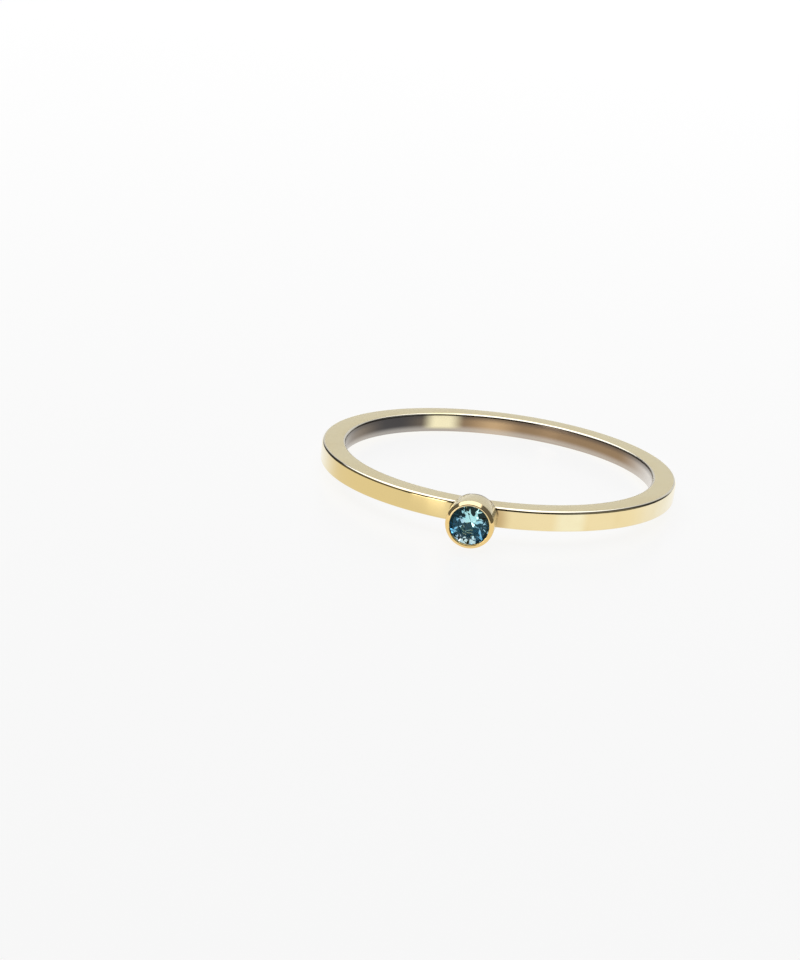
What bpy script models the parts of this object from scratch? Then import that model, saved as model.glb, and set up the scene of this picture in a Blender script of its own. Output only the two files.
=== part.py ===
"""Bezel ring lying on its side: a thin flat band with one small round cut stone in a soldered cup.

Units are metres. The ring is modelled round the Z axis with its cup on the -Y side. The parent empty
then lays it down as it rests by itself: on the back end of the cup at the front and on the band's lower
edge at the back, with the middle of its outline over the origin and the floor at z = 0.
"""

import math

import bmesh
import bpy
from mathutils import Matrix, Vector

# Band
FINGER_DIAMETER = 0.01730
BAND_THICKNESS = 0.00131
BAND_WIDTH = 0.00113
OUTER_ROUNDING = 0.00016
INNER_ROUNDING = 0.00015

# Cup that holds the stone
CUP_DIAMETER = 0.00258
CUP_REACH = 0.00155  # front of the rim beyond the band's outer wall
CUP_DROP = 0.00016  # cup's axis below the middle of the band
CUP_SINK = 0.00013  # back end sunk into the band's outer wall, where it is soldered
CUP_BACK_CHAMFER = 0.00005
STONE_SHOWING = 0.00208  # diameter of the rim's opening
RIM_OUTER_ROUNDING = 0.00017
RIM_INNER_ROUNDING = 0.00006
RIM_GRIP_DEPTH = 0.00018  # rim's inner edge below its crest, where it holds the crown
BORE_DIAMETER = 0.00120  # hole under the seat

# Stone, a round brilliant
GIRDLE_DIAMETER = 0.00220
GIRDLE_THICKNESS = 0.00006
TABLE_DIAMETER = 0.00124  # across the table's corners
STAR_TIP_DIAMETER = 0.00172  # across the tips of the star facets round the table
CROWN_ANGLE = math.radians(27)
PAVILION_ANGLE = math.radians(41)
LOWER_GIRDLE_ANGLE = math.radians(43)
MAIN_FACETS = 8

# Fit and fineness
STONE_CLEARANCE = 0.00003  # between the stone and its seat, groove and rim
CULET_CLEARANCE = 0.00010  # between the stone's point and the bottom of the bore
MERGE_DISTANCE = 1e-7
BAND_SEGMENTS = 120
CUP_SEGMENTS = 56
GIRDLE_SEGMENTS = 32
ROUNDING_STEPS = 4
SHARP_ANGLE = math.radians(40)

# Worked out from the sizes above
INNER_RADIUS = FINGER_DIAMETER / 2
OUTER_RADIUS = INNER_RADIUS + BAND_THICKNESS
CUP_RADIUS = CUP_DIAMETER / 2
CUP_LENGTH = CUP_REACH + CUP_SINK
OPENING_RADIUS = STONE_SHOWING / 2
GIRDLE_RADIUS = GIRDLE_DIAMETER / 2
CROWN_RISE_AT_RIM = (GIRDLE_RADIUS - OPENING_RADIUS) * math.tan(CROWN_ANGLE)
GIRDLE_HEIGHT = (  # middle of the girdle above the cup's back end
    CUP_LENGTH - RIM_GRIP_DEPTH - STONE_CLEARANCE - CROWN_RISE_AT_RIM - GIRDLE_THICKNESS / 2
)


def arc(centre, radius, start, end):
    """Points on an arc, both ends included, from start to end in degrees."""
    angles = [math.radians(start + (end - start) * i / ROUNDING_STEPS) for i in range(ROUNDING_STEPS + 1)]
    return [(centre[0] + radius * math.cos(a), centre[1] + radius * math.sin(a)) for a in angles]


def material(name, colour, metallic, roughness, transmission=0.0):
    """A Principled material in one plain colour."""
    made = bpy.data.materials.new(name)
    made.use_nodes = True
    shader = made.node_tree.nodes["Principled BSDF"]
    shader.inputs["Base Color"].default_value = (*colour, 1.0)
    shader.inputs["Metallic"].default_value = metallic
    shader.inputs["Roughness"].default_value = roughness
    shader.inputs["Transmission Weight"].default_value = transmission
    return made


def turned(name, profile, segments, closed):
    """A solid turned round Z from (radius, height) points. An open profile starts and ends on the axis."""
    bm = bmesh.new()
    verts = [bm.verts.new((radius, 0.0, height)) for radius, height in profile]
    edges = [bm.edges.new(pair) for pair in zip(verts, verts[1:])]
    if closed:
        edges.append(bm.edges.new((verts[-1], verts[0])))
    bmesh.ops.spin(
        bm, geom=verts + edges, cent=(0, 0, 0), axis=(0, 0, 1), angle=math.tau, steps=segments, use_merge=True
    )
    bmesh.ops.remove_doubles(bm, verts=bm.verts, dist=MERGE_DISTANCE)
    return finished(name, bm)


def finished(name, bm):
    """Turns a bmesh into an object, with its faces out and its round surfaces smooth."""
    bmesh.ops.recalc_face_normals(bm, faces=bm.faces)
    mesh = bpy.data.meshes.new(name)
    bm.to_mesh(mesh)
    bm.free()
    mesh.shade_smooth()
    mesh.set_sharp_from_angle(angle=SHARP_ANGLE)
    made = bpy.data.objects.new(name, mesh)
    bpy.context.scene.collection.objects.link(made)
    return made


def band():
    """The flat band: straight walls and side faces, with its four edges rounded."""
    half = BAND_WIDTH / 2
    outer = OUTER_RADIUS - OUTER_ROUNDING
    inner = INNER_RADIUS + INNER_ROUNDING
    profile = arc((outer, OUTER_ROUNDING - half), OUTER_ROUNDING, -90, 0)
    profile += arc((outer, half - OUTER_ROUNDING), OUTER_ROUNDING, 0, 90)
    profile += arc((inner, half - INNER_ROUNDING), INNER_ROUNDING, 90, 180)
    profile += arc((inner, INNER_ROUNDING - half), INNER_ROUNDING, 180, 270)
    return turned("band_and_bezel", profile, BAND_SEGMENTS, closed=True)


def cup():
    """The cup, turned with its back end at z = 0: rim, groove for the girdle, seat and bore."""
    bore = BORE_DIAMETER / 2
    groove = GIRDLE_RADIUS + STONE_CLEARANCE
    outer, inner = RIM_OUTER_ROUNDING, RIM_INNER_ROUNDING
    seat_gap = STONE_CLEARANCE / math.cos(PAVILION_ANGLE)
    groove_top = CUP_LENGTH - RIM_GRIP_DEPTH - (groove - OPENING_RADIUS) * math.tan(CROWN_ANGLE)

    def seat_height(radius):
        drop = (GIRDLE_RADIUS - radius) * math.tan(PAVILION_ANGLE)
        return GIRDLE_HEIGHT - GIRDLE_THICKNESS / 2 - drop - seat_gap

    floor = seat_height(0) + seat_gap - CULET_CLEARANCE
    profile = [(0, 0), (CUP_RADIUS - CUP_BACK_CHAMFER, 0), (CUP_RADIUS, CUP_BACK_CHAMFER)]
    profile += arc((CUP_RADIUS - outer, CUP_LENGTH - outer), outer, 0, 90)
    profile += arc((OPENING_RADIUS + inner, CUP_LENGTH - inner), inner, 90, 180)
    profile += [(OPENING_RADIUS, CUP_LENGTH - RIM_GRIP_DEPTH), (groove, groove_top)]
    profile += [(groove, seat_height(groove)), (bore, seat_height(bore)), (bore, floor), (0, floor)]
    return turned("bezel_cup", profile, CUP_SEGMENTS, closed=False)


def cut_facet(bm, azimuth, tilt, point):
    """Grinds one flat facet, whose outward face leans by tilt from the axis, through a (radius, height)."""
    across = Vector((math.cos(azimuth), math.sin(azimuth), 0))
    outward = across * math.sin(tilt) + Vector((0, 0, math.cos(tilt)))
    geom = bm.verts[:] + bm.edges[:] + bm.faces[:]
    through = across * point[0] + Vector((0, 0, point[1]))
    cut = bmesh.ops.bisect_plane(
        bm, geom=geom, dist=MERGE_DISTANCE, plane_co=through, plane_no=outward, clear_outer=True
    )
    edges = [item for item in cut["geom_cut"] if isinstance(item, bmesh.types.BMEdge)]
    bmesh.ops.edgeloop_fill(bm, edges=edges)


def stone():
    """The round brilliant, ground from a round blank with its table up and its girdle at z = 0."""
    half = GIRDLE_THICKNESS / 2
    table_radius = TABLE_DIAMETER / 2
    table_height = half + (GIRDLE_RADIUS - table_radius) * math.tan(CROWN_ANGLE)
    step = math.tau / MAIN_FACETS
    girdle_middle = GIRDLE_RADIUS * math.cos(step / 4)  # middle of the chord under a girdle facet
    table_edge = table_radius * math.cos(step / 2)
    star_tip = STAR_TIP_DIAMETER / 2  # where a star, two kites and two upper girdle facets meet
    tip_height = half + (GIRDLE_RADIUS - star_tip * math.cos(step / 2)) * math.tan(CROWN_ANGLE)
    star_angle = math.atan2(table_height - tip_height, star_tip - table_edge)
    upper_angle = math.atan2(tip_height - half, (GIRDLE_RADIUS - star_tip) * math.cos(step / 4))
    bm = bmesh.new()
    bmesh.ops.create_cone(
        bm, cap_ends=True, segments=GIRDLE_SEGMENTS, radius1=GIRDLE_RADIUS, radius2=GIRDLE_RADIUS,
        depth=2 * GIRDLE_DIAMETER,
    )
    on_axis = math.atan2(bm.verts[:][0].co.y, bm.verts[:][0].co.x)
    bmesh.ops.rotate(bm, verts=bm.verts, matrix=Matrix.Rotation(-on_axis, 3, "Z"))
    for index in range(MAIN_FACETS):
        azimuth = index * step
        cut_facet(bm, azimuth, CROWN_ANGLE, (GIRDLE_RADIUS, half))
        cut_facet(bm, azimuth, math.pi - PAVILION_ANGLE, (GIRDLE_RADIUS, -half))
    for index in range(2 * MAIN_FACETS):
        azimuth = (index + 0.5) * step / 2
        cut_facet(bm, azimuth, upper_angle, (girdle_middle, half))
        cut_facet(bm, azimuth, math.pi - LOWER_GIRDLE_ANGLE, (girdle_middle, -half))
    for index in range(MAIN_FACETS):
        cut_facet(bm, (index + 0.5) * step, star_angle, (table_edge, table_height))
    cut_facet(bm, 0, 0, (0, table_height))
    bmesh.ops.remove_doubles(bm, verts=bm.verts, dist=MERGE_DISTANCE)
    made = finished("stone", bm)
    made.data.shade_flat()
    return made


def resting_place():
    """Where the ring comes to lie: its tilt about X, and the world place of its centre.

    In the ring's own side view, the cup stands lower than the band, so the floor touches the lowest
    corner of the cup's back end and the rounding of the band's lower edge opposite it.
    """
    half = BAND_WIDTH / 2
    heel = Vector((CUP_SINK - CUP_BACK_CHAMFER - OUTER_RADIUS, -CUP_DROP - CUP_RADIUS))
    edge = Vector((OUTER_RADIUS - OUTER_ROUNDING, OUTER_ROUNDING - half))
    between = edge - heel
    tilt = math.atan2(between.y, between.x) - math.asin(OUTER_ROUNDING / between.length)
    lift = heel.x * math.sin(tilt) - heel.y * math.cos(tilt)
    rim = Vector((-OUTER_RADIUS - CUP_REACH, -CUP_DROP - CUP_RADIUS))
    rim += Vector((RIM_OUTER_ROUNDING, RIM_OUTER_ROUNDING))
    front = rim.x * math.cos(tilt) + rim.y * math.sin(tilt) - RIM_OUTER_ROUNDING
    back = edge.x * math.cos(tilt) + (half - OUTER_ROUNDING) * math.sin(tilt) + OUTER_ROUNDING
    return -tilt, Vector((0, -(front + back) / 2, lift))


def main():
    for old in list(bpy.data.objects):
        bpy.data.objects.remove(old, do_unlink=True)

    tilt, place = resting_place()
    ring = bpy.data.objects.new("ring_at_rest", None)
    bpy.context.scene.collection.objects.link(ring)
    ring.location = place
    ring.rotation_euler = (tilt, 0, 0)

    metal = band()
    metal.data.materials.append(material("gold_coloured_steel", (0.84, 0.66, 0.36), 1.0, 0.16))
    soldered = cup()
    soldered.location = (0, CUP_SINK - OUTER_RADIUS, -CUP_DROP)
    soldered.rotation_euler = (math.pi / 2, 0, 0)
    soldered.hide_render = True
    soldered.display_type = "WIRE"
    join = metal.modifiers.new("soldered_cup", "BOOLEAN")
    join.operation = "UNION"
    join.object = soldered

    gem = stone()
    gem.data.materials.append(material("blue_crystal", (0.10, 0.52, 0.64), 0.0, 0.02, 0.9))
    gem.location = (0, CUP_SINK - OUTER_RADIUS - GIRDLE_HEIGHT, -CUP_DROP)
    gem.rotation_euler = (math.pi / 2, 0, 0)

    for piece in (metal, soldered, gem):
        piece.parent = ring


main()
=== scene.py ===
"""A thin gold-coloured bezel ring with a sea-blue stone, lying on its side on a pale studio floor."""

import math

import bmesh
import bpy
from bpy.props import FloatProperty, FloatVectorProperty, IntProperty, PointerProperty
from mathutils import Matrix, Vector


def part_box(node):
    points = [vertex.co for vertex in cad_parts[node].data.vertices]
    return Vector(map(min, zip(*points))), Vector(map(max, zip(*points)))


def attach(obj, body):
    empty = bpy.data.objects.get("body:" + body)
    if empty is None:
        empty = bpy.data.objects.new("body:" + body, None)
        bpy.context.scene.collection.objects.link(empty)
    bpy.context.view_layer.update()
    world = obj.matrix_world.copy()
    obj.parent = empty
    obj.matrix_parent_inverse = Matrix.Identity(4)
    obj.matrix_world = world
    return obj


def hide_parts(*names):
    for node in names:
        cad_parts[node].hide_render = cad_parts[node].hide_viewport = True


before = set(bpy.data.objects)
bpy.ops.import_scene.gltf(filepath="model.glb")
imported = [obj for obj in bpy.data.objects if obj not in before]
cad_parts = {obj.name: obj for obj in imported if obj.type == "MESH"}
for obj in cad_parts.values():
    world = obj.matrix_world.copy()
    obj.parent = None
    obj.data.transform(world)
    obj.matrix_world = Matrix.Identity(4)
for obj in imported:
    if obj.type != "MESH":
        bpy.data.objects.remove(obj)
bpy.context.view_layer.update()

bl_info = {
    "name": "Bezel Ring",
    "version": (1, 0, 0),
    "blender": (4, 5, 0),
    "location": "3D View > Sidebar > Bezel Ring",
    "description": "Builds a thin bezel ring with a round brilliant stone, and a pale studio round it",
    "category": "Object",
}

MM = 0.001

# Mesh
BAND_SEGMENTS = 288
CUP_SEGMENTS = 128
SHARP_ANGLE = math.radians(30)
MERGE_DISTANCE = 1e-7
ON_CIRCLE = 1e-6
FIT_TOLERANCE = 0.03 * MM
RIM_BACK_ROUNDING = 0.06 * MM
RIM_FRONT_ROUNDING = 0.03 * MM
CLEAR_SLOT = 0
MIRROR_SLOT = 1


def length(name, description, default):
    """A length in metres, shown in the scene's units."""
    return FloatProperty(
        name=name, description=description, default=default, min=0, unit="LENGTH", precision=6
    )


def angle(name, description, degrees):
    """An angle, given in degrees."""
    return FloatProperty(name=name, description=description, default=math.radians(degrees), unit="ROTATION")


def colour(name, description, default):
    """A linear colour."""
    return FloatVectorProperty(
        name=name, description=description, default=default, size=3, subtype="COLOR", min=0, max=1
    )


def brightness(name, description, default):
    """How bright a light is."""
    return FloatProperty(name=name, description=description, default=default, min=0)


class RingSizes(bpy.types.PropertyGroup):
    """Sizes of the band and of its cup."""

    finger_diameter: length("Finger hole", "Inside diameter of the band", 0.01730)
    band_thickness: length("Band thickness", "From the inner wall to the outer wall", 0.00131)
    band_width: length("Band width", "From one side face to the other", 0.00113)
    outer_rounding: length("Outer rounding", "Radius of the band's outer edges", 0.00016)
    inner_rounding: length("Inner rounding", "Radius of the band's inner edges", 0.00015)
    cup_diameter: length("Cup diameter", "Outside diameter of the cup", 0.00258)
    cup_reach: length("Cup reach", "Front of the cup beyond the band's outer wall", 0.00155)
    cup_drop: length("Cup drop", "Cup's axis below the middle of the band", 0.00016)
    cup_sink: length("Cup sink", "Cup's back end inside the band's outer wall", 0.00013)
    cup_chamfer: length("Cup chamfer", "Bevel round the cup's back end", 0.00005)
    stone_showing: length("Stone showing", "Diameter of the rim's opening", 0.00208)
    rim_outer: length("Rim outside", "Size of the rim's outer edge", 0.00017)
    rim_bevel_depth: length("Rim bevel depth", "Bevelled part of the rim, along the cup", 0.00019)
    rim_bevel_width: length("Rim bevel width", "Bevelled part of the rim, across the cup", 0.000155)
    rim_inner: length("Rim inside", "Rounding of the rim's inner edge", 0.00006)
    rim_grip: length("Rim grip", "Depth of the rim's inner wall", 0.00018)
    bore_diameter: length("Bore", "Diameter of the hole under the seat", 0.00120)


class StoneSizes(bpy.types.PropertyGroup):
    """Sizes of the round brilliant."""

    girdle_diameter: length("Girdle diameter", "Widest diameter of the stone", 0.00220)
    girdle_thickness: length("Girdle thickness", "Height of the stone's edge", 0.00006)
    table_diameter: length("Table diameter", "Across the table's corners", 0.00124)
    star_tip_diameter: length("Star tips", "Across the tips of the facets round the table", 0.00172)
    clearance: length("Clearance", "Gap between the stone and its cup", 0.00003)
    culet_clearance: length("Culet clearance", "Gap between the stone's point and its bore", 0.00010)
    crown_angle: angle("Crown angle", "Slope of the main facets round the table", 27)
    pavilion_angle: angle("Pavilion angle", "Slope of the main facets under the girdle", 41)
    lower_angle: angle("Lower girdle angle", "Slope of the facets just under the girdle", 43)
    main_facets: IntProperty(name="Main facets", description="Main facets round the stone", default=8, min=4)


class Finish(bpy.types.PropertyGroup):
    """Colours of the metal, of the stone and of the floor, painted shade, highlights and reflections among
    them.
    """

    gold: colour("Gold", "Polished outer wall on the right", (0.94, 0.78, 0.44))
    # Painted shade: the outer wall's left side is darker in this deeper gold, which the random mottling also
    # uses.
    deep_gold_shade_and_mottle: colour("Deeper gold", "Outer wall on the left", (0.795, 0.615, 0.275))
    # Painted reflection: paler gold at both ends of the outer wall.
    gold_pale: colour("Pale gold", "Outer wall at both ends", (0.95, 0.87, 0.64))
    # Painted highlights: soft bright patches on the outer and inner walls.
    painted_highlight: colour("Sheen", "Soft bright patches on the walls", (1.0, 0.91, 0.60))
    # Painted shade: the cup's reflection, a soft brown shade on the outer wall just right of the cup.
    shade: colour("Shade", "Outer wall just right of the cup", (0.60, 0.43, 0.21))
    satin: colour("Satin", "Side faces of the band and outside of the cup", (0.93, 0.81, 0.485))
    # Painted highlight: the pale tone on the band's rounded edges, not rubbed metal.
    edge_highlight: colour("Worn edge", "Rubbed edges of the band", (0.98, 0.93, 0.80))
    # Painted light on the rim: its deeper gold low down is painted light reflected between gold faces, and
    # the paler gold on its upper part is a painted highlight where the overhead light falls, not wear.
    rim: colour("Rim", "Deeper gold of the rim pressed over the stone", (0.90, 0.64, 0.26))
    rim_highlight: colour("Rim, pale", "Worn upper part of the rim", (0.93, 0.74, 0.42))
    lip: colour("Lip", "Shadowed inner wall of the rim, round the stone", (0.26, 0.18, 0.09))
    # Painted shade: the dark line in the crease where the cup meets the band, on its upper front.
    solder: colour("Solder", "Dark line where the cup meets the band", (0.20, 0.14, 0.07))
    inside: colour("Inside", "Dull metal of the inner wall", (0.21, 0.165, 0.12))
    # Painted shade and painted reflections on the inner wall: dark on the left and near the top, brown at
    # the back, a tan strip, pale on the right and at the foot.
    inside_dark: colour("Inside, dark", "Darkest part of the inner wall", (0.075, 0.07, 0.07))
    inside_brown: colour("Inside, brown", "Inner wall from the back to the right", (0.33, 0.22, 0.125))
    inside_tan: colour("Inside, tan", "Lighter strip of the inner wall", (0.60, 0.41, 0.225))
    inside_pale: colour("Inside, pale", "Inner wall on the right and at its foot", (0.71, 0.66, 0.60))
    crystal: colour("Crystal", "Tint of the stone's body", (0.88, 0.97, 1.0))
    coating: colour("Coating", "Tint of what the stone's front mirrors", (0.20, 0.68, 1.0))
    foil: colour("Foil", "Mirror behind the stone's lower facets", (0.78, 0.99, 1.0))
    # Painted glints in white on the mirror's right side and foot, and painted shade in deep blue on its
    # left.
    foil_white: colour("Foil, white", "Right side and foot of the mirror", (0.98, 0.99, 1.0))
    foil_deep: colour("Foil, deep", "Left side of the mirror", (0.14, 0.50, 0.80))
    foil_green: colour("Foil, green", "Lower half of the mirror", (0.58, 0.95, 0.90))
    floor: colour("Floor", "Studio floor", (0.10, 0.10, 0.10))


class StudioLight(bpy.types.PropertyGroup):
    """Brightness of the studio's lights."""

    floor_glow: brightness("Floor glow", "Light from under the floor", 0.85)
    overhead: brightness("Overhead", "Wide soft light above the ring", 1.6)
    behind: brightness("Behind", "Pale card behind the ring", 0.645)
    lamp: brightness("Lamp", "Small light to the left of the camera", 3.3)
    sides: brightness("Sides", "Dim sides of the room", 0.14)
    room: brightness("Room", "Dark rest of the room", 0.04)
    backdrop: brightness("Backdrop", "What is seen past the floor's edge", 0.93)


class StudioCamera(bpy.types.PropertyGroup):
    """Where the camera stands, and how it is turned."""

    place: FloatVectorProperty(
        name="Place", description="Camera's place", subtype="TRANSLATION",
        default=(0.012498, -0.129317, 0.044167),
    )
    heading: angle("Heading", "Turn about the vertical, from looking along +Y", 7.844)
    pitch: angle("Pitch", "Angle below the horizon", 18.865)
    roll: angle("Roll", "Lean of the camera", 6.331)
    focal_pixels: FloatProperty(name="Focal length", description="In pixels of the picture", default=2451.7)


def ring_profile(sizes):
    """Radii of the band's walls and of the cup, and the lengths that follow from the sizes."""
    inner = sizes.finger_diameter / 2
    outer = inner + sizes.band_thickness
    cup = sizes.cup_diameter / 2
    opening = sizes.stone_showing / 2
    return {
        "inner": inner,
        "outer": outer,
        "half": sizes.band_width / 2,
        "cup": cup,
        "opening": opening,
        "cup_length": sizes.cup_reach + sizes.cup_sink,
        "cup_back": Vector((0, sizes.cup_sink - outer, -sizes.cup_drop)),
    }


def resting_place(sizes):
    """The matrix that lays the ring down: on the heel of its cup and on the band's lower back edge."""
    ring = ring_profile(sizes)
    heel = Vector((sizes.cup_sink - sizes.cup_chamfer - ring["outer"], -sizes.cup_drop - ring["cup"]))
    edge = Vector((ring["outer"] - sizes.outer_rounding, sizes.outer_rounding - ring["half"]))
    between = edge - heel
    tilt = math.atan2(between.y, between.x) - math.asin(sizes.outer_rounding / between.length)
    lift = heel.x * math.sin(tilt) - heel.y * math.cos(tilt)
    rim = Vector((-ring["outer"] - sizes.cup_reach, -sizes.cup_drop - ring["cup"]))
    rim += Vector((sizes.rim_outer, sizes.rim_outer))
    front = rim.x * math.cos(tilt) + rim.y * math.sin(tilt) - sizes.rim_outer
    back = edge.x * math.cos(tilt) - edge.y * math.sin(tilt) + sizes.outer_rounding
    return Matrix.Translation((0, -(front + back) / 2, lift)) @ Matrix.Rotation(-tilt, 4, "X")


def girdle_height(sizes, stone):
    """Middle of the stone's girdle above the cup's back end."""
    ring = ring_profile(sizes)
    rise = (stone.girdle_diameter / 2 - ring["opening"]) * math.tan(stone.crown_angle)
    return ring["cup_length"] - sizes.rim_grip - stone.clearance - rise - stone.girdle_thickness / 2


def spun(profile, segments, closed):
    """A bmesh turned round Z from (radius, height) points. An open profile starts and ends on the axis."""
    bm = bmesh.new()
    verts = [bm.verts.new((radius, 0, height)) for radius, height in profile]
    edges = [bm.edges.new(pair) for pair in zip(verts, verts[1:])]
    if closed:
        edges.append(bm.edges.new((verts[-1], verts[0])))
    bmesh.ops.spin(
        bm, geom=verts + edges, cent=(0, 0, 0), axis=(0, 0, 1), angle=math.tau, steps=segments,
        use_merge=True,
    )
    bmesh.ops.remove_doubles(bm, verts=bm.verts, dist=MERGE_DISTANCE)
    bmesh.ops.recalc_face_normals(bm, faces=bm.faces)
    return bm


def round_edges(bm, radius, height, offset, segments):
    """Rounds the loop of edges that runs round Z at this radius and height."""
    def on_loop(vert):
        across = math.hypot(vert.co.x, vert.co.y)
        return abs(vert.co.z - height) < ON_CIRCLE and abs(across - radius) < ON_CIRCLE

    loop = [edge for edge in bm.edges if all(on_loop(vert) for vert in edge.verts)]
    bmesh.ops.bevel(
        bm, geom=loop, offset=offset, offset_type="OFFSET", affect="EDGES", segments=segments, profile=0.5,
        material=-1, clamp_overlap=False,
    )


def band_mesh(sizes):
    """The flat band round Z, with its four edges rounded."""
    ring = ring_profile(sizes)
    half = ring["half"]
    corners = [
        (ring["inner"], -half), (ring["outer"], -half), (ring["outer"], half), (ring["inner"], half),
    ]
    bm = spun(corners, BAND_SEGMENTS, closed=True)
    for height in (-half, half):
        round_edges(bm, ring["outer"], height, sizes.outer_rounding, segments=6)
        round_edges(bm, ring["inner"], height, sizes.inner_rounding, segments=6)
    return bm


def cup_mesh(sizes, stone):
    """The cup round Z with its back end at z = 0: bevelled rim, groove for the girdle, seat and bore."""
    ring = ring_profile(sizes)
    radius, opening, top = ring["cup"], ring["opening"], ring["cup_length"]
    bore = sizes.bore_diameter / 2
    girdle = stone.girdle_diameter / 2
    groove = girdle + stone.clearance
    gap = stone.clearance / math.cos(stone.pavilion_angle)
    under = girdle_height(sizes, stone) - stone.girdle_thickness / 2
    groove_top = top - sizes.rim_grip - (groove - opening) * math.tan(stone.crown_angle)

    def seat(at):
        return under - (girdle - at) * math.tan(stone.pavilion_angle) - gap

    floor = seat(0) + gap - stone.culet_clearance
    profile = [
        (0, 0), (radius, 0), (radius, top - sizes.rim_bevel_depth), (radius - sizes.rim_bevel_width, top),
        (opening, top), (opening, top - sizes.rim_grip),
        (groove, groove_top), (groove, seat(groove)), (bore, seat(bore)), (bore, floor), (0, floor),
    ]
    bm = spun(profile, CUP_SEGMENTS, closed=False)
    round_edges(bm, radius, 0, sizes.cup_chamfer, segments=3)
    round_edges(bm, radius, top - sizes.rim_bevel_depth, RIM_BACK_ROUNDING, segments=6)
    round_edges(bm, radius - sizes.rim_bevel_width, top, RIM_FRONT_ROUNDING, segments=5)
    round_edges(bm, opening, top, sizes.rim_inner, segments=6)
    bmesh.ops.transform(bm, matrix=Matrix.Rotation(math.pi / 2, 4, "X"), verts=bm.verts)
    bmesh.ops.translate(bm, vec=ring["cup_back"], verts=bm.verts)
    return bm


def cut_facet(bm, azimuth, tilt, point, slot):
    """Grinds one flat facet, whose outward face leans by tilt from the axis, through a (radius, height)."""
    across = Vector((math.cos(azimuth), math.sin(azimuth), 0))
    cut = bmesh.ops.bisect_plane(
        bm, geom=bm.verts[:] + bm.edges[:] + bm.faces[:], dist=MERGE_DISTANCE,
        plane_co=across * point[0] + Vector((0, 0, point[1])),
        plane_no=across * math.sin(tilt) + Vector((0, 0, math.cos(tilt))), clear_outer=True,
    )
    edges = [item for item in cut["geom_cut"] if isinstance(item, bmesh.types.BMEdge)]
    for face in bmesh.ops.edgeloop_fill(bm, edges=edges)["faces"]:
        face.material_index = slot


def stone_mesh(sizes, stone):
    """The brilliant, ground from a round blank and set in the cup. Its underside has the mirror's slot."""
    half = stone.girdle_thickness / 2
    radius, table = stone.girdle_diameter / 2, stone.table_diameter / 2
    step = math.tau / stone.main_facets
    table_height = half + (radius - table) * math.tan(stone.crown_angle)
    star_tip = stone.star_tip_diameter / 2
    tip_height = half + (radius - star_tip * math.cos(step / 2)) * math.tan(stone.crown_angle)
    table_edge = table * math.cos(step / 2)
    star = math.atan2(table_height - tip_height, star_tip - table_edge)
    upper = math.atan2(tip_height - half, (radius - star_tip) * math.cos(step / 4))
    chord = radius * math.cos(step / 4)
    bm = bmesh.new()
    bmesh.ops.create_cone(
        bm, cap_ends=True, segments=4 * stone.main_facets, radius1=radius, radius2=radius, depth=4 * radius
    )
    first = bm.verts[:][0].co
    turn = Matrix.Rotation(-math.atan2(first.y, first.x), 3, "Z")
    bmesh.ops.rotate(bm, verts=bm.verts, matrix=turn)
    for index in range(stone.main_facets):
        cut_facet(bm, index * step, stone.crown_angle, (radius, half), CLEAR_SLOT)
        cut_facet(bm, index * step, math.pi - stone.pavilion_angle, (radius, -half), MIRROR_SLOT)
    for index in range(2 * stone.main_facets):
        azimuth = (index + 0.5) * step / 2
        cut_facet(bm, azimuth, upper, (chord, half), CLEAR_SLOT)
        cut_facet(bm, azimuth, math.pi - stone.lower_angle, (chord, -half), MIRROR_SLOT)
    for index in range(stone.main_facets):
        cut_facet(bm, (index + 0.5) * step, star, (table_edge, table_height), CLEAR_SLOT)
    cut_facet(bm, 0, 0, (0, table_height), CLEAR_SLOT)
    bmesh.ops.remove_doubles(bm, verts=bm.verts, dist=MERGE_DISTANCE)
    bmesh.ops.recalc_face_normals(bm, faces=bm.faces)
    bmesh.ops.transform(bm, matrix=Matrix.Rotation(math.pi / 2, 4, "X"), verts=bm.verts)
    set_back = Vector((0, girdle_height(sizes, stone), 0))
    bmesh.ops.translate(bm, vec=ring_profile(sizes)["cup_back"] - set_back, verts=bm.verts)
    return bm


def placed(name, bm, matrix, smooth):
    """Makes an object of a bmesh, with its place in its mesh."""
    bmesh.ops.transform(bm, matrix=matrix, verts=bm.verts)
    mesh = bpy.data.meshes.new(name)
    bm.to_mesh(mesh)
    bm.free()
    if smooth:
        mesh.shade_smooth()
        mesh.set_sharp_from_angle(angle=SHARP_ANGLE)
    made = bpy.data.objects.new(name, mesh)
    bpy.context.scene.collection.objects.link(made)
    return made


def check_fit(piece, node):
    """Stops the script where a new piece doesn't fill the box of the solid that it stands for."""
    low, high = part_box(node)
    for axis in range(3):
        own = [vert.co[axis] for vert in piece.data.vertices]
        if abs(min(own) - low[axis]) > FIT_TOLERANCE or abs(max(own) - high[axis]) > FIT_TOLERANCE:
            raise RuntimeError(f"{piece.name} doesn't match the box of {node}")


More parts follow.
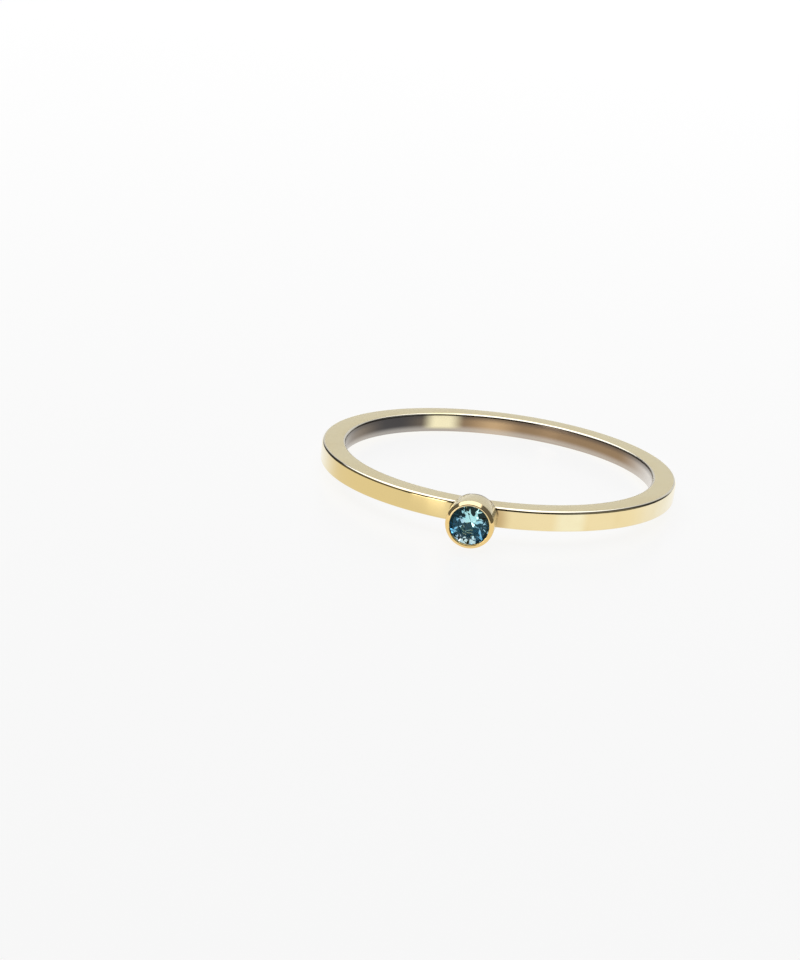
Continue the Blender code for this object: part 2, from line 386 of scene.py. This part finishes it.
class Nodes:
    """A material's or group's node tree, with short calls to add and link its nodes."""

    def __init__(self, tree):
        self.tree = tree
        self.tree.nodes.clear()

    def add(self, kind, settings=None, **inputs):
        """Adds a node. Settings are its own values, and inputs are sockets' values or links, by name."""
        node = self.tree.nodes.new(kind)
        for key, value in (settings or {}).items():
            setattr(node, key, value)
        for key, value in inputs.items():
            socket = node.inputs[int(key[1:])] if key[1:].isdigit() else node.inputs[key.replace("_", " ")]
            if isinstance(value, bpy.types.NodeSocket):
                self.tree.links.new(value, socket)
            else:
                socket.default_value = value
        return node

    def math(self, operation, *values):
        """A Math node's result."""
        inputs = {f"i{index}": value for index, value in enumerate(values)}
        return self.add("ShaderNodeMath", {"operation": operation}, **inputs).outputs[0]

    def ramp(self, value, low, high):
        """A mask that rises smoothly from 0 at low to 1 at high. Low may be the greater one."""
        node = self.add(
            "ShaderNodeMapRange", {"interpolation_type": "SMOOTHSTEP"}, Value=value, From_Min=low,
            From_Max=high,
        )
        return node.outputs["Result"]

    def rise(self, value, span, start=0.0):
        """A ramp over a span of two lengths in millimetres, counted from a place."""
        return self.ramp(value, start + span[0] * MM, start + span[1] * MM)

    def between(self, value, low, high, soft):
        """A mask that is 1 between two angles in degrees, with soft ends."""
        low, high, soft = math.radians(low), math.radians(high), math.radians(soft)
        return self.product(
            self.ramp(value, low - soft, low + soft), self.ramp(value, high + soft, high - soft)
        )

    def product(self, first, *others):
        """The product of masks."""
        for other in others:
            first = self.math("MULTIPLY", first, other)
        return first

    def mix(self, factor, first, second):
        """A mix of two colours."""
        node = self.add("ShaderNodeMix", {"data_type": "RGBA"})
        for socket, value in ((node.inputs[0], factor), (node.inputs[6], first), (node.inputs[7], second)):
            if isinstance(value, bpy.types.NodeSocket):
                self.tree.links.new(value, socket)
            else:
                socket.default_value = value
        return node.outputs[2]

    def cloud(self, tree, place, scale, detail, grain=0.5):
        """A soft mottling, from the group that makes it."""
        inputs = {"Place": place, "Scale": scale, "Detail": detail, "Grain": grain}
        return self.add("ShaderNodeGroup", {"node_tree": tree}, **inputs).outputs["Cloud"]

    def finish(self, shader):
        """Links the shader to the material's output."""
        output = self.tree.nodes.new("ShaderNodeOutputMaterial")
        self.tree.links.new(shader.outputs[0], output.inputs["Surface"])


def group(name, inputs, outputs):
    """An empty shader node group with these (kind, name, default) inputs and (kind, name) outputs."""
    tree = bpy.data.node_groups.new(name, "ShaderNodeTree")
    nodes = Nodes(tree)
    for kind, label, default in inputs:
        socket = tree.interface.new_socket(label, in_out="INPUT", socket_type=f"NodeSocket{kind}")
        socket.default_value = default
    for kind, label in outputs:
        tree.interface.new_socket(label, in_out="OUTPUT", socket_type=f"NodeSocket{kind}")
    return nodes, tree.nodes.new("NodeGroupInput"), tree.nodes.new("NodeGroupOutput")


def ring_place_group(rest):
    """Turns Object coordinates into the ring's own radius, height, angle from the back, and point."""
    outputs = [("Float", "Radius"), ("Float", "Height"), ("Float", "Angle"), ("Vector", "Point")]
    nodes, _, out = group("ring_place", [], outputs)
    back = rest.inverted()
    turn = back.to_euler()
    here = nodes.add("ShaderNodeTexCoord").outputs["Object"]
    point = nodes.add(
        "ShaderNodeMapping", Vector=here, Location=back.to_translation(), Rotation=(turn.x, turn.y, turn.z)
    ).outputs[0]
    x, y, z = nodes.add("ShaderNodeSeparateXYZ", Vector=point).outputs
    squares = nodes.math("ADD", nodes.math("MULTIPLY", x, x), nodes.math("MULTIPLY", y, y))
    results = {"Radius": nodes.math("SQRT", squares), "Height": z, "Angle": nodes.math("ARCTAN2", x, y)}
    for name, value in {**results, "Point": point}.items():
        nodes.tree.links.new(value, out.inputs[name])
    return nodes.tree


def cloudiness_group():
    """A soft mottling of a given scale, detail and grain."""
    inputs = [("Vector", "Place", (0, 0, 0)), ("Float", "Scale", 1.0), ("Float", "Detail", 2.0)]
    nodes, given, out = group("cloud", inputs + [("Float", "Grain", 0.5)], [("Float", "Cloud")])
    noise = nodes.add(
        "ShaderNodeTexNoise", Vector=given.outputs["Place"], Scale=given.outputs["Scale"],
        Detail=given.outputs["Detail"], Roughness=given.outputs["Grain"],
    )
    nodes.tree.links.new(noise.outputs["Fac"], out.inputs["Cloud"])
    return nodes.tree


# Painted highlights and painted reflections round the ring, in degrees from its back: where each starts and
# ends, and how soft its ends are
OUTER_HIGHLIGHT = (145.5, 154.5, 2)
INNER_HIGHLIGHT = (-36, -24, 3.5)
INNER_DARK = (-66, -40, 10)
INNER_BROWN = (-24, 70, 8)
INNER_TAN = (-15, -3, 6)
INNER_PALE = (60, 125, 14)

# Spans over which a mask rises, in millimetres to the right, upwards or backwards, or from a surface; many
# of these masks lay painted shade, highlights and reflections
LEFT_OF_RING = (2.0, -3.0)
ENDS_OF_RING = (7.8, 9.6)
FRONT_OF_RING = (0.0, -1.0)
WALL_FOOT = (-0.08, -0.42)
WALL_TOP = (0.12, 0.42)
WALL_EDGE = (0.46, 0.52)
INNER_HIGHLIGHT_FOOT = (-0.45, -0.20)
NEAR_FACE = (-0.03, -0.01)
NEAR_EDGE = (-0.07, -0.04)
INTO_FACE = (-0.04, 0.0)
OUT_OF_FACE = (0.04, 0.0)
PAST_EDGE = (-0.04, 0.04)
INTO_WALL = (0.0, -0.08)
INTO_TUBE = (0.04, -0.04)
INTO_RIM = (0.02, -0.02)
LIP_SIDE = (0.04, 0.01)
LIP_FRONT = (0.02, 0.06)
LIP_BACK = (0.6, 0.5)
SOLDER_ON_CUP = (0.08, 0.02)
SOLDER_ON_WALL = (0.10, 0.03)
SOLDER_HEIGHT = (0.0, 0.3)
SHADE_REACH = (0.8, 0.0)
SHADE_SIDE = (0.0, 0.6)
RIM_HIGHLIGHT_RISE = (-0.2, 1.0)

# Shares of the inner wall's painted reflection at its foot and painted shade near its top, the mottling's
# span, and the roughness that a finish adds to the polished one
FOOT_SHARE = 0.55
TOP_SHARE = 0.60
CLOUD_SPAN = (0.35, 1.3)
POLISHED_ROUGHNESS = 0.04
SATIN_ROUGHNESS = 0.12
INSIDE_ROUGHNESS = 0.14
CLOUD_ROUGHNESS = 0.04
SATIN_DULLNESS = 0.55
BRUSHING_SCALE = (3000, 3000, 60000)
BRUSHING_DEPTH = 0.01 * MM


def outer_wall_shade_and_highlights(nodes, finish, x, around):
    """The polished outside's colour, with painted shade deeper to the left, a painted reflection pale at
    both ends, and a painted highlight in a soft bright patch.
    """
    # Painted shade: deeper gold on the left of the outer wall.
    tone = nodes.mix(nodes.rise(x, LEFT_OF_RING), (*finish.gold, 1), (*finish.deep_gold_shade_and_mottle, 1))
    # Painted reflection: paler gold at both ends.
    ends = nodes.rise(nodes.math("ABSOLUTE", x), ENDS_OF_RING)
    tone = nodes.mix(ends, tone, (*finish.gold_pale, 1))
    # Painted highlight: a soft bright patch on the outer wall.
    return nodes.mix(nodes.between(around, *OUTER_HIGHLIGHT), tone, (*finish.painted_highlight, 1))


def inner_wall_shade_and_reflections(nodes, finish, around, height):
    """The dull inside's colour, laid with painted reflections and shade: dark on the left, brown at the
    back, pale on the right and at its foot, darker near its top, with a painted highlight on its edge and a
    painted highlight patch.
    """
    tone = (*finish.inside, 1)
    zones = (
        (INNER_DARK, finish.inside_dark), (INNER_BROWN, finish.inside_brown),
        (INNER_TAN, finish.inside_tan), (INNER_PALE, finish.inside_pale),
    )
    for zone, shown in zones:
        tone = nodes.mix(nodes.between(around, *zone), tone, (*shown, 1))
    # Painted reflection paler at the wall's foot, and painted shade darker near its top.
    foot = nodes.product(nodes.rise(height, WALL_FOOT), FOOT_SHARE)
    tone = nodes.mix(foot, tone, (*finish.inside_pale, 1))
    top = nodes.product(nodes.rise(height, WALL_TOP), TOP_SHARE)
    tone = nodes.mix(top, tone, (*finish.inside_dark, 1))
    # Painted highlight along the inner wall's rounded top edge.
    tone = nodes.mix(nodes.rise(height, WALL_EDGE), tone, (*finish.edge_highlight, 1))
    # Painted highlight: a soft bright patch on the inner wall.
    patch = nodes.product(nodes.between(around, *INNER_HIGHLIGHT), nodes.rise(height, INNER_HIGHLIGHT_FOOT))
    return nodes.mix(patch, tone, (*finish.painted_highlight, 1))


def metal_masks(nodes, sizes, radius, height, point):
    """Where each finish of the metal lies, and where its painted shade and painted highlights lie, as masks
    by name.
    """
    ring = ring_profile(sizes)
    inner_edge = ring["inner"] + sizes.inner_rounding
    outer_edge = ring["outer"] - sizes.outer_rounding
    crest = -ring["outer"] - sizes.cup_reach
    x, depth, _ = nodes.add("ShaderNodeSeparateXYZ", Vector=point).outputs
    off_middle = nodes.math("ABSOLUTE", height)
    below = nodes.math("ADD", height, sizes.cup_drop)
    across = nodes.math("SQRT", nodes.math("MULTIPLY_ADD", x, x, nodes.math("MULTIPLY", below, below)))
    beside_cup = nodes.math("ABSOLUTE", nodes.math("SUBTRACT", across, ring["cup"]))
    beside_wall = nodes.math("ABSOLUTE", nodes.math("SUBTRACT", radius, ring["outer"]))
    front = nodes.rise(depth, FRONT_OF_RING)
    flat = nodes.product(
        nodes.rise(off_middle, NEAR_FACE, ring["half"]), nodes.rise(radius, INTO_FACE, inner_edge),
        nodes.rise(radius, OUT_OF_FACE, outer_edge),
    )
    rim = nodes.rise(depth, INTO_RIM, crest + sizes.rim_bevel_depth)
    tube = nodes.product(
        nodes.rise(depth, INTO_TUBE, -ring["outer"]), nodes.math("SUBTRACT", 1.0, rim)
    )
    return {
        "satin": nodes.math("MAXIMUM", flat, tube),
        # Painted highlight on the band's outer rounded edges.
        "edge": nodes.product(
            nodes.rise(off_middle, NEAR_EDGE, ring["half"]), nodes.rise(radius, PAST_EDGE, outer_edge)
        ),
        "inside": nodes.rise(radius, INTO_WALL, inner_edge),
        "rim": rim,
        "lip": nodes.product(
            nodes.rise(across, LIP_SIDE, ring["opening"]), nodes.rise(depth, LIP_FRONT, crest),
            nodes.rise(depth, LIP_BACK, crest),
        ),
        # Painted shade in the crease where the cup meets the band.
        "solder": nodes.product(
            nodes.rise(beside_cup, SOLDER_ON_CUP), nodes.rise(beside_wall, SOLDER_ON_WALL),
            nodes.rise(height, SOLDER_HEIGHT), front,
        ),
        # Painted shade on the outer wall just right of the cup.
        "shade": nodes.product(
            nodes.rise(across, SHADE_REACH, ring["cup"]), nodes.rise(x, SHADE_SIDE), front
        ),
    }


def gold_material(sizes, finish, place_group, cloud_group):
    """Polished gold-coloured metal with satin side faces, a deeper gold rim and a dull inner wall, with
    painted shade, painted highlights and painted reflections laid on it.
    """
    made = bpy.data.materials.new("gold_coloured_metal")
    made.use_nodes = True
    nodes = Nodes(made.node_tree)
    place = nodes.add("ShaderNodeGroup", {"node_tree": place_group})
    radius, height, around, point = (place.outputs[name] for name in ("Radius", "Height", "Angle", "Point"))
    x = nodes.add("ShaderNodeSeparateXYZ", Vector=point).outputs["X"]
    mask = metal_masks(nodes, sizes, radius, height, point)
    cloud = nodes.cloud(cloud_group, point, scale=420.0, detail=3.0, grain=0.55)
    base = outer_wall_shade_and_highlights(nodes, finish, x, around)
    # Painted shade just right of the cup.
    base = nodes.mix(mask["shade"], base, (*finish.shade, 1))
    # Painted highlight on the band's rounded edges.
    base = nodes.mix(mask["edge"], base, (*finish.edge_highlight, 1))
    base = nodes.mix(mask["satin"], base, (*finish.satin, 1))
    base = nodes.mix(nodes.ramp(cloud, *CLOUD_SPAN), base, (*finish.deep_gold_shade_and_mottle, 1))
    # Painted light on the rim: deeper gold low down, a painted highlight higher up.
    rim_tone = nodes.mix(nodes.rise(height, RIM_HIGHLIGHT_RISE), (*finish.rim, 1), (*finish.rim_highlight, 1))
    base = nodes.mix(mask["rim"], base, rim_tone)
    base = nodes.mix(mask["lip"], base, (*finish.lip, 1))
    base = nodes.mix(mask["inside"], base, inner_wall_shade_and_reflections(nodes, finish, around, height))
    # Painted shade in the crease where the cup meets the band.
    base = nodes.mix(mask["solder"], base, (*finish.solder, 1))
    rough = nodes.math("MULTIPLY_ADD", mask["satin"], SATIN_ROUGHNESS, POLISHED_ROUGHNESS)
    rough = nodes.math("MULTIPLY_ADD", mask["inside"], INSIDE_ROUGHNESS, rough)
    rough = nodes.math("MULTIPLY_ADD", cloud, CLOUD_ROUGHNESS, rough)
    metallic = nodes.math("MULTIPLY_ADD", mask["satin"], -SATIN_DULLNESS, 1.0)
    squeezed = nodes.add("ShaderNodeMapping", Vector=point, Scale=BRUSHING_SCALE).outputs[0]
    lines = nodes.add("ShaderNodeTexNoise", Vector=squeezed, Scale=1.0, Detail=2.0).outputs["Fac"]
    bump = nodes.add("ShaderNodeBump", Height=lines, Strength=0.03, Distance=BRUSHING_DEPTH).outputs[0]
    nodes.finish(nodes.add(
        "ShaderNodeBsdfPrincipled", Base_Color=base, Metallic=metallic, Roughness=rough, Normal=bump
    ))
    return made


CRYSTAL_CLOUD = 0.92


def crystal_material(finish, cloud_group):
    """The clear blue body of the stone."""
    made = bpy.data.materials.new("blue_crystal")
    made.use_nodes = True
    nodes = Nodes(made.node_tree)
    here = nodes.add("ShaderNodeTexCoord").outputs["Object"]
    cloud = nodes.cloud(cloud_group, here, scale=900.0, detail=2.0)
    clouded = [part * CRYSTAL_CLOUD for part in finish.crystal]
    base = nodes.mix(cloud, (*finish.crystal, 1), (*clouded, 1))
    nodes.finish(nodes.add(
        "ShaderNodeBsdfPrincipled", Base_Color=base, Metallic=0.0, Roughness=0.0, IOR=1.65,
        Transmission_Weight=1.0, Specular_IOR_Level=0.4, Specular_Tint=(*finish.coating, 1),
    ))
    return made


# Spans over which a tone of the stone's mirrored underside rises, in millimetres to the right or upwards;
# the white tone is painted glints and the deep tone painted shade
FOIL_GREEN_FOOT = (0.1, -0.6)
FOIL_GREEN_SIDE = (0.6, 0.0)
FOIL_WHITE_SIDE = (0.3, 0.6)
FOIL_WHITE_FOOT = (-0.6, -0.9)
FOIL_DEEP_SIDE = (-0.1, -0.9)


def foil_material(finish, place_group, cloud_group):
    """The mirrored underside of the stone, seen through its body, with painted glints in white on its right
    side and foot and painted shade in deep blue on its left.
    """
    made = bpy.data.materials.new("blue_foil")
    made.use_nodes = True
    nodes = Nodes(made.node_tree)
    place = nodes.add("ShaderNodeGroup", {"node_tree": place_group})
    x, _, z = nodes.add("ShaderNodeSeparateXYZ", Vector=place.outputs["Point"]).outputs
    cloud = nodes.cloud(cloud_group, place.outputs["Point"], scale=1400.0, detail=1.0)
    lower = nodes.product(nodes.rise(z, FOIL_GREEN_FOOT), nodes.rise(x, FOIL_GREEN_SIDE), cloud)
    base = nodes.mix(lower, (*finish.foil, 1), (*finish.foil_green, 1))
    # Painted glints in white, then painted shade in deep blue on the left.
    white = nodes.math("MAXIMUM", nodes.rise(x, FOIL_WHITE_SIDE), nodes.rise(z, FOIL_WHITE_FOOT))
    base = nodes.mix(white, base, (*finish.foil_white, 1))
    base = nodes.mix(nodes.rise(x, FOIL_DEEP_SIDE), base, (*finish.foil_deep, 1))
    nodes.finish(nodes.add("ShaderNodeBsdfPrincipled", Base_Color=base, Metallic=1.0, Roughness=0.03))
    return made


def shared_groups(rest):
    """The two node groups that the materials share, each made once."""
    made = bpy.data.node_groups
    return made.get("ring_place") or ring_place_group(rest), made.get("cloud") or cloudiness_group()


class RING_OT_band_and_cup(bpy.types.Operator):
    """Make the band with its soldered cup"""

    bl_idname = "ring.band_and_cup"
    bl_label = "Band and Cup"

    def execute(self, context):
        scene = context.scene
        rest = resting_place(scene.ring_sizes)
        cup = placed("cup_for_union", cup_mesh(scene.ring_sizes, scene.stone_sizes), rest, smooth=True)
        piece = placed("band_and_cup", band_mesh(scene.ring_sizes), rest, smooth=True)
        join = piece.modifiers.new("solder", "BOOLEAN")
        join.operation = "UNION"
        join.object = cup
        joined = bpy.data.meshes.new_from_object(piece.evaluated_get(context.evaluated_depsgraph_get()))
        piece.modifiers.clear()
        piece.data = joined
        bpy.data.objects.remove(cup, do_unlink=True)
        joined.set_sharp_from_angle(angle=SHARP_ANGLE)
        even = piece.modifiers.new("even_shading", "WEIGHTED_NORMAL")
        even.keep_sharp = True
        joined.materials.clear()
        joined.materials.append(gold_material(scene.ring_sizes, scene.ring_finish, *shared_groups(rest)))
        check_fit(piece, "band_and_bezel")
        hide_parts("band_and_bezel")
        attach(piece, "root")
        return {"FINISHED"}


class RING_OT_stone(bpy.types.Operator):
    """Cut the stone and set it in the cup"""

    bl_idname = "ring.stone"
    bl_label = "Stone"

    def execute(self, context):
        scene = context.scene
        rest = resting_place(scene.ring_sizes)
        piece = placed("cut_stone", stone_mesh(scene.ring_sizes, scene.stone_sizes), rest, smooth=False)
        place_group, cloud_group = shared_groups(rest)
        piece.data.materials.append(crystal_material(scene.ring_finish, cloud_group))
        piece.data.materials.append(foil_material(scene.ring_finish, place_group, cloud_group))
        check_fit(piece, "stone")
        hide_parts("stone")
        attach(piece, "root")
        return {"FINISHED"}


def floor_material(finish, light):
    """A pale, faintly glossy floor that is lit from below, as a light table is."""
    made = bpy.data.materials.new("pale_floor")
    made.use_nodes = True
    nodes = Nodes(made.node_tree)
    nodes.finish(nodes.add(
        "ShaderNodeBsdfPrincipled", Base_Color=(*finish.floor, 1), Roughness=0.3, Specular_IOR_Level=0.03,
        Emission_Color=(1, 1, 1, 1), Emission_Strength=light.floor_glow,
    ))
    return made


# Edges of the overhead light, as distance to the right or to the back over height
OVERHEAD_LEFT = (-1.20, -0.95)
OVERHEAD_RIGHT = (0.60, 0.38)
OVERHEAD_NEAR = (-0.54, -0.40)
OVERHEAD_FAR = (1.45, 1.20)
LEAST_HEIGHT = 0.001

# Edge of the card behind and the lit sides of the room, in degrees from straight back
CARD_EDGE = (36, 22)
ROOM_SIDES = (62, 125, 10)

# Lamp, with a tall part and a low, wider one: degrees right of straight front, and sines of elevation
LAMP_TALL = (-36, -24, 1.5)
LAMP_LOW = (-47, -24, 1.5)
LAMP_FOOT = (0.0, 0.01)
LAMP_TALL_TOP = (0.40, 0.36)
LAMP_LOW_TOP = (0.15, 0.13)


def studio_world(light):
    """A wide soft light overhead, a pale card behind and a small lamp in front, in a dark room."""
    world = bpy.data.worlds.new("studio")
    bpy.context.scene.world = world
    world.use_nodes = True
    nodes = Nodes(world.node_tree)
    way = nodes.add("ShaderNodeTexCoord").outputs["Generated"]
    x, y, z = nodes.add("ShaderNodeSeparateXYZ", Vector=way).outputs
    above = nodes.math("MAXIMUM", z, LEAST_HEIGHT)
    across, along = nodes.math("DIVIDE", x, above), nodes.math("DIVIDE", y, above)
    overhead = nodes.product(
        nodes.ramp(across, *OVERHEAD_LEFT), nodes.ramp(across, *OVERHEAD_RIGHT),
        nodes.ramp(along, *OVERHEAD_NEAR), nodes.ramp(along, *OVERHEAD_FAR),
    )
    aside = nodes.math("ARCTAN2", nodes.math("ABSOLUTE", x), y)
    behind = nodes.ramp(aside, *(math.radians(degrees) for degrees in CARD_EDGE))
    front = nodes.math("ARCTAN2", x, nodes.math("MULTIPLY", y, -1.0))
    foot = nodes.ramp(z, *LAMP_FOOT)
    tall = nodes.product(nodes.between(front, *LAMP_TALL), foot, nodes.ramp(z, *LAMP_TALL_TOP))
    low = nodes.product(nodes.between(front, *LAMP_LOW), foot, nodes.ramp(z, *LAMP_LOW_TOP))
    lamp = nodes.math("MAXIMUM", low, tall)
    sides = nodes.between(aside, *ROOM_SIDES)
    level = nodes.math("MULTIPLY_ADD", behind, light.behind - light.room, light.room)
    for mask, strength in ((sides, light.sides), (lamp, light.lamp), (overhead, light.overhead)):
        level = nodes.math("MAXIMUM", level, nodes.math("MULTIPLY", mask, strength))
    seen = nodes.add("ShaderNodeLightPath").outputs["Is Camera Ray"]
    past_floor = nodes.math("MULTIPLY", seen, nodes.math("SUBTRACT", light.backdrop, level))
    level = nodes.math("ADD", level, past_floor)
    background = nodes.add("ShaderNodeBackground", Color=(1, 1, 1, 1), Strength=level)
    output = nodes.tree.nodes.new("ShaderNodeOutputWorld")
    nodes.tree.links.new(background.outputs[0], output.inputs["Surface"])


# Floor and camera
FLOOR_REACH = 1.5
SENSOR = 36.0
PICTURE_HEIGHT = 960
CLIP_START = 0.001


class RING_OT_stage(bpy.types.Operator):
    """Make the floor, the lights and the camera"""

    bl_idname = "ring.stage"
    bl_label = "Stage"

    def execute(self, context):
        scene = context.scene
        bm = bmesh.new()
        bmesh.ops.create_grid(bm, x_segments=2, y_segments=2, size=FLOOR_REACH)
        floor = placed("floor", bm, Matrix.Identity(4), smooth=False)
        floor.data.materials.append(floor_material(scene.ring_finish, scene.studio_light))
        studio_world(scene.studio_light)
        data = bpy.data.cameras.new("camera")
        data.sensor_width = SENSOR
        data.lens = scene.ring_camera.focal_pixels * SENSOR / PICTURE_HEIGHT
        data.clip_start = CLIP_START
        camera = bpy.data.objects.new("camera", data)
        turn = scene.ring_camera
        camera.matrix_world = (
            Matrix.Translation(turn.place)
            @ Matrix.Rotation(turn.heading, 4, "Z")
            @ Matrix.Rotation(math.pi / 2 - turn.pitch, 4, "X")
            @ Matrix.Rotation(turn.roll, 4, "Z")
        )
        scene.collection.objects.link(camera)
        scene.camera = camera
        scene.view_settings.view_transform = "Standard"
        return {"FINISHED"}


class RING_PT_panel(bpy.types.Panel):
    """The ring's tools"""

    bl_label = "Bezel Ring"
    bl_idname = "RING_PT_panel"
    bl_space_type = "VIEW_3D"
    bl_region_type = "UI"
    bl_category = "Bezel Ring"

    def draw(self, context):
        for operator in OPERATORS:
            self.layout.operator(operator.bl_idname)


OPERATORS = (RING_OT_band_and_cup, RING_OT_stone, RING_OT_stage)
CLASSES = (RingSizes, StoneSizes, Finish, StudioLight, StudioCamera, *OPERATORS, RING_PT_panel)


def register():
    for item in CLASSES:
        bpy.utils.register_class(item)
    bpy.types.Scene.ring_sizes = PointerProperty(type=RingSizes)
    bpy.types.Scene.stone_sizes = PointerProperty(type=StoneSizes)
    bpy.types.Scene.ring_finish = PointerProperty(type=Finish)
    bpy.types.Scene.studio_light = PointerProperty(type=StudioLight)
    bpy.types.Scene.ring_camera = PointerProperty(type=StudioCamera)


def unregister():
    for name in ("ring_sizes", "stone_sizes", "ring_finish", "studio_light", "ring_camera"):
        delattr(bpy.types.Scene, name)
    for item in reversed(CLASSES):
        bpy.utils.unregister_class(item)


def main():
    register()
    bpy.ops.ring.band_and_cup()
    bpy.ops.ring.stone()
    bpy.ops.ring.stage()


if __name__ == "__main__":
    main()
